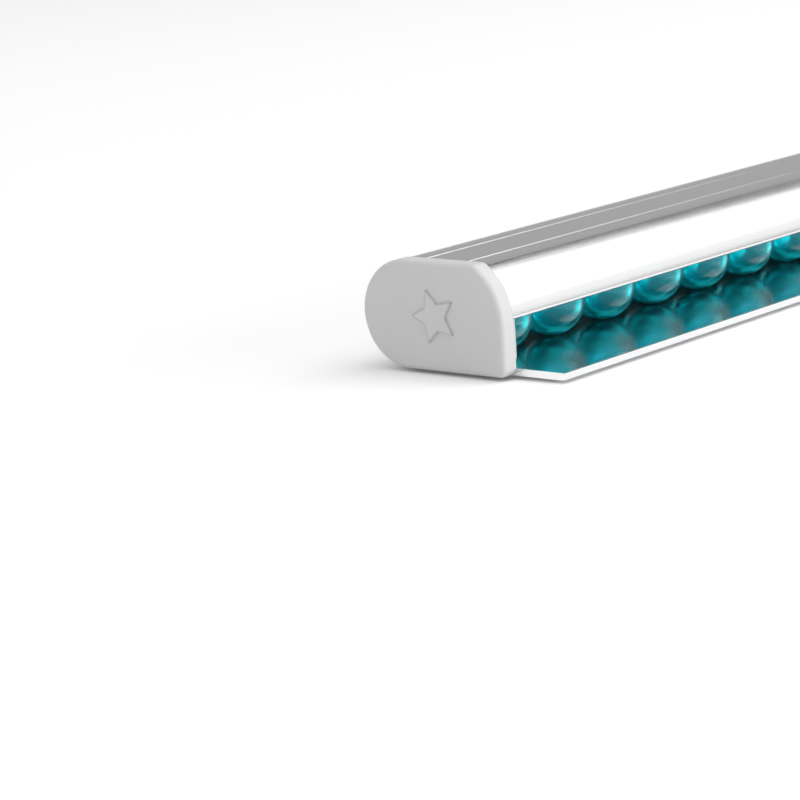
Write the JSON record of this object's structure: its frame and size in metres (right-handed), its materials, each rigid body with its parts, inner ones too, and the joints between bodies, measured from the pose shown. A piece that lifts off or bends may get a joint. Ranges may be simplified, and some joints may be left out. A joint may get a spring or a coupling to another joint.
{
  "type": "order ticket rail",
  "caption": "Aluminium order ticket rail: a hollow strip with a slot over its front lip and a cap on each end, in which loose glass balls wedge a paper slip.",
  "frame": {"origin": "middle of the object's footprint on the mounting surface, under the tape strips", "axes": "+X along the rail, -Y the slot side with the lip, +Z away from the mounting surface"},
  "size_m": [0.4594, 0.0518, 0.025],
  "materials": {
    "anodised_aluminium": "satin silver anodised, fine grain",
    "cap_plastic": "matte moulded",
    "teal_glass": "clear, tinted teal",
    "foam_tape": "matte closed-cell foam"
  },
  "bodies": {
    "rail": {"rail_extrusion": "anodised_aluminium", "end_cap_left": "cap_plastic", "end_cap_right": "cap_plastic", "mounting_tape_front": "foam_tape", "mounting_tape_rear": "foam_tape"},
    "ball_01": {"glass_ball_01": "teal_glass"},
    "ball_02": {"glass_ball_02": "teal_glass"},
    "ball_03": {"glass_ball_03": "teal_glass"},
    "ball_04": {"glass_ball_04": "teal_glass"},
    "ball_05": {"glass_ball_05": "teal_glass"},
    "ball_06": {"glass_ball_06": "teal_glass"},
    "ball_07": {"glass_ball_07": "teal_glass"},
    "ball_08": {"glass_ball_08": "teal_glass"},
    "ball_09": {"glass_ball_09": "teal_glass"},
    "ball_10": {"glass_ball_10": "teal_glass"},
    "ball_11": {"glass_ball_11": "teal_glass"},
    "ball_12": {"glass_ball_12": "teal_glass"},
    "ball_13": {"glass_ball_13": "teal_glass"},
    "ball_14": {"glass_ball_14": "teal_glass"},
    "ball_15": {"glass_ball_15": "teal_glass"},
    "ball_16": {"glass_ball_16": "teal_glass"},
    "ball_17": {"glass_ball_17": "teal_glass"},
    "ball_18": {"glass_ball_18": "teal_glass"},
    "ball_19": {"glass_ball_19": "teal_glass"},
    "ball_20": {"glass_ball_20": "teal_glass"},
    "ball_21": {"glass_ball_21": "teal_glass"},
    "ball_22": {"glass_ball_22": "teal_glass"},
    "ball_23": {"glass_ball_23": "teal_glass"}
  },
  "joints": [
    {"name": "ball_01_roll", "type": "slide", "parent": "rail", "child": "ball_01", "axis": [0, 1, 0], "range_m": [-0.0045, 0.0004]},
    {"name": "ball_02_roll", "type": "slide", "parent": "rail", "child": "ball_02", "axis": [0, 1, 0], "range_m": [-0.0045, 0.0004]},
    {"name": "ball_03_roll", "type": "slide", "parent": "rail", "child": "ball_03", "axis": [0, 1, 0], "range_m": [-0.0045, 0.0004]},
    {"name": "ball_04_roll", "type": "slide", "parent": "rail", "child": "ball_04", "axis": [0, 1, 0], "range_m": [-0.0045, 0.0004]},
    {"name": "ball_05_roll", "type": "slide", "parent": "rail", "child": "ball_05", "axis": [0, 1, 0], "range_m": [-0.0045, 0.0004]},
    {"name": "ball_06_roll", "type": "slide", "parent": "rail", "child": "ball_06", "axis": [0, 1, 0], "range_m": [-0.0045, 0.0004]},
    {"name": "ball_07_roll", "type": "slide", "parent": "rail", "child": "ball_07", "axis": [0, 1, 0], "range_m": [-0.0045, 0.0004]},
    {"name": "ball_08_roll", "type": "slide", "parent": "rail", "child": "ball_08", "axis": [0, 1, 0], "range_m": [-0.0045, 0.0004]},
    {"name": "ball_09_roll", "type": "slide", "parent": "rail", "child": "ball_09", "axis": [0, 1, 0], "range_m": [-0.0045, 0.0004]},
    {"name": "ball_10_roll", "type": "slide", "parent": "rail", "child": "ball_10", "axis": [0, 1, 0], "range_m": [-0.0045, 0.0004]},
    {"name": "ball_11_roll", "type": "slide", "parent": "rail", "child": "ball_11", "axis": [0, 1, 0], "range_m": [-0.0045, 0.0004]},
    {"name": "ball_12_roll", "type": "slide", "parent": "rail", "child": "ball_12", "axis": [0, 1, 0], "range_m": [-0.0045, 0.0004]},
    {"name": "ball_13_roll", "type": "slide", "parent": "rail", "child": "ball_13", "axis": [0, 1, 0], "range_m": [-0.0045, 0.0004]},
    {"name": "ball_14_roll", "type": "slide", "parent": "rail", "child": "ball_14", "axis": [0, 1, 0], "range_m": [-0.0045, 0.0004]},
    {"name": "ball_15_roll", "type": "slide", "parent": "rail", "child": "ball_15", "axis": [0, 1, 0], "range_m": [-0.0045, 0.0004]},
    {"name": "ball_16_roll", "type": "slide", "parent": "rail", "child": "ball_16", "axis": [0, 1, 0], "range_m": [-0.0045, 0.0004]},
    {"name": "ball_17_roll", "type": "slide", "parent": "rail", "child": "ball_17", "axis": [0, 1, 0], "range_m": [-0.0045, 0.0004]},
    {"name": "ball_18_roll", "type": "slide", "parent": "rail", "child": "ball_18", "axis": [0, 1, 0], "range_m": [-0.0045, 0.0004]},
    {"name": "ball_19_roll", "type": "slide", "parent": "rail", "child": "ball_19", "axis": [0, 1, 0], "range_m": [-0.0045, 0.0004]},
    {"name": "ball_20_roll", "type": "slide", "parent": "rail", "child": "ball_20", "axis": [0, 1, 0], "range_m": [-0.0045, 0.0004]},
    {"name": "ball_21_roll", "type": "slide", "parent": "rail", "child": "ball_21", "axis": [0, 1, 0], "range_m": [-0.0045, 0.0004]},
    {"name": "ball_22_roll", "type": "slide", "parent": "rail", "child": "ball_22", "axis": [0, 1, 0], "range_m": [-0.0045, 0.0004]},
    {"name": "ball_23_roll", "type": "slide", "parent": "rail", "child": "ball_23", "axis": [0, 1, 0], "range_m": [-0.0045, 0.0004]}
  ]
}
